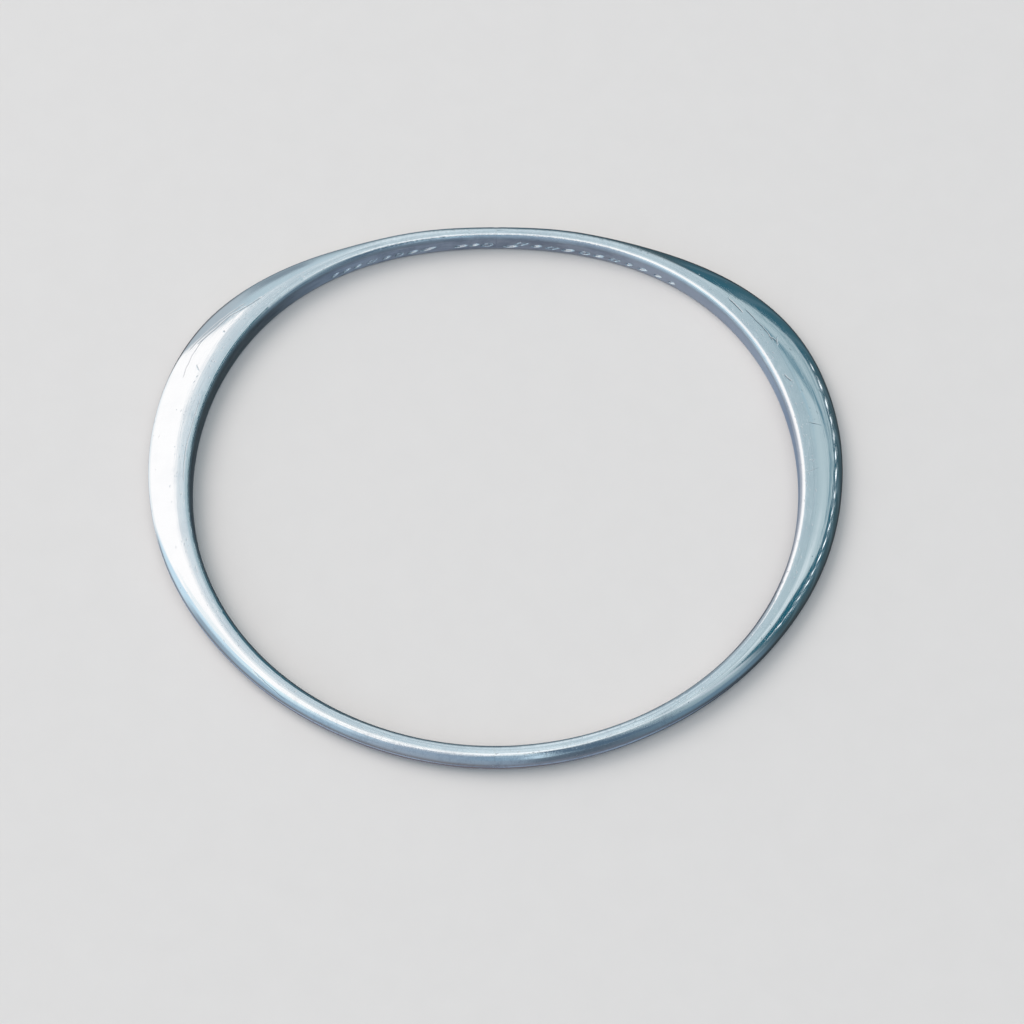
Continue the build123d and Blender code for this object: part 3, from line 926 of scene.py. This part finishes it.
    # the middle of the ceiling, greyer towards the front where it is seen in the lapped flats
    frontal = N.mul(N.ramp(el, 67.8, 70.3), N.ramp(aaz, 24, 15))
    col = N.mix(frontal, col, N.mix(N.ramp(az, -7, -2), lin(166, 190, 202), lin(232, 246, 253)))
    zen = N.mix(N.ramp(az, -60, -10), lin(252, 254, 255, 1.12), lin(246, 252, 255, 1.08))
    zen = N.mix(N.ramp(az, 110, 170), zen, lin(252, 254, 255, 1.08))
    col = N.mix(N.ramp(N.sub(el, N.mul(N.between(az, 116, 168, 8, 8), 4.0)), 77, 82), col, zen)
    col = N.mix(N.mul(N.ramp(el, 66, 69), N.mul(N.ramp(az, -18, -27), N.ramp(az, -100, -86))), col, lin(240, 246, 249))
    glow = N.mul(N.between(az, -16, -3, 5, 4), N.between(el, 65.6, 68.4, 1.2, 1.2))
    col = N.mix(N.mul(glow, 0.9), col, lin(236, 242, 246))
    col = N.mix(N.ramp(el, 86.0, 88.5), col, lin(255, 255, 255, 1.25))

    # large window-like panel on the left, and its sheen lower down
    right_edge = N.curve(el, [(-60, -41), (-30, -44), (-8, -43), (8, -42), (28, -37), (37, -33),
                              (42, -30), (47, -25.5), (51, -19.5), (56, -17), (60, -16.5), (64, -19.5), (68, -30), (72, -60)])
    win_r = N.ramp(N.sub(az, right_edge), -1.6, 1.6, 1.0, 0.0)
    left_edge = N.curve(el, [(-60, -66), (-30, -77), (0, -82), (20, -86), (36, -93), (44, -108), (50, -146), (56, -152),
                             (64, -120), (70, -80)])
    win_l = N.ramp(N.sub(az, left_edge), -3.0, 3.0)
    win = N.mul(N.mul(win_r, win_l), N.ramp(el, 72, 67))
    sheen = N.mix(N.ramp(el, -56, -34), lin(176, 188, 198), lin(244, 249, 252))
    win_col = N.mix(N.ramp(el, -14, 4), sheen, lin(255, 253, 253, 1.10))
    col = N.mix(N.mul(win, N.ramp(el, -62, -48)), col, win_col)
    # a paler blue band in it, low and towards the camera
    veil = N.mul(N.between(az, -104, -82, 10, 4), N.between(el, 40, 58, 6, 8))
    col = N.mix(N.mul(veil, 0.6), col, lin(228, 241, 246))

    bg = N.new("ShaderNodeBackground")
    N.put(bg.inputs["Color"], col)
    bg.inputs["Strength"].default_value = 1.0
    plain = N.new("ShaderNodeBackground")
    plain.inputs["Color"].default_value = lin(214, 216, 217)
    lp = N.new("ShaderNodeLightPath")
    mixs = N.new("ShaderNodeMixShader")
    N.put(mixs.inputs[0], lp.outputs["Is Camera Ray"])
    N.put(mixs.inputs[1], bg.outputs[0])
    N.put(mixs.inputs[2], plain.outputs[0])
    out = N.new("ShaderNodeOutputWorld")
    N.put(out.inputs["Surface"], mixs.outputs[0])
    w.cycles.sampling_method = "MANUAL"
    w.cycles.sample_map_resolution = 512


def build_softbox():
    """Two large soft boxes: one up and to the left that shapes the shadow on the
    floor, one overhead that fills it."""
    for name, place, size, watts in (("soft_box", (-0.62, 0.34, 0.92), 0.75, 5.6),
                                     ("fill_box", (0.28, -0.30, 1.25), 1.10, 3.9)):
        li = bpy.data.lights.new(name, "AREA")
        li.shape = "RECTANGLE"
        li.size, li.size_y = size, size
        li.energy = watts
        li.color = (1.0, 0.985, 0.965)
        ob = bpy.data.objects.new(name, li)
        bpy.context.collection.objects.link(ob)
        ob.location = place
        ob.rotation_mode = "QUATERNION"
        ob.rotation_quaternion = (-ob.location).to_track_quat("-Z", "Y")
        ob.visible_glossy = False
        ob.visible_camera = False


def build_camera():
    cam = bpy.data.cameras.new("photo_camera")
    ob = bpy.data.objects.new("photo_camera", cam)
    bpy.context.collection.objects.link(ob)
    elev, dist = math.radians(66.0), 0.2852
    target = Vector((0.001737, -0.002259, 0.0))
    ob.location = target + dist * Vector((0.0, -math.cos(elev), math.sin(elev)))
    ob.rotation_mode = "QUATERNION"
    ob.rotation_quaternion = (target - ob.location).to_track_quat("-Z", "Y")
    cam.sensor_width = 36.0
    cam.lens = 2702.0 / 1024.0 * 36.0
    cam.clip_start, cam.clip_end = 0.01, 20.0
    bpy.context.scene.camera = ob


# ------------------------------------------------------------------------------
# Put together
# ------------------------------------------------------------------------------
solder = solder_material()
for node, side in (("right_half", 1), ("left_half", -1)):
    piece = build_half(node + "_forged", side)
    piece.data.materials.append(silver_material("polished_silver_" + node, side))
    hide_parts(node)
    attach(piece, "root")
for node, front in (("front_solder_seam", True), ("back_solder_seam", False)):
    piece = build_seam(node + "_run", front)
    piece.data.materials.append(solder)
    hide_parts(node)
    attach(piece, "root")

build_floor()
build_world()
build_softbox()
build_camera()
sc = bpy.context.scene
sc.view_settings.view_transform = "Standard"
sc.view_settings.look = "None"
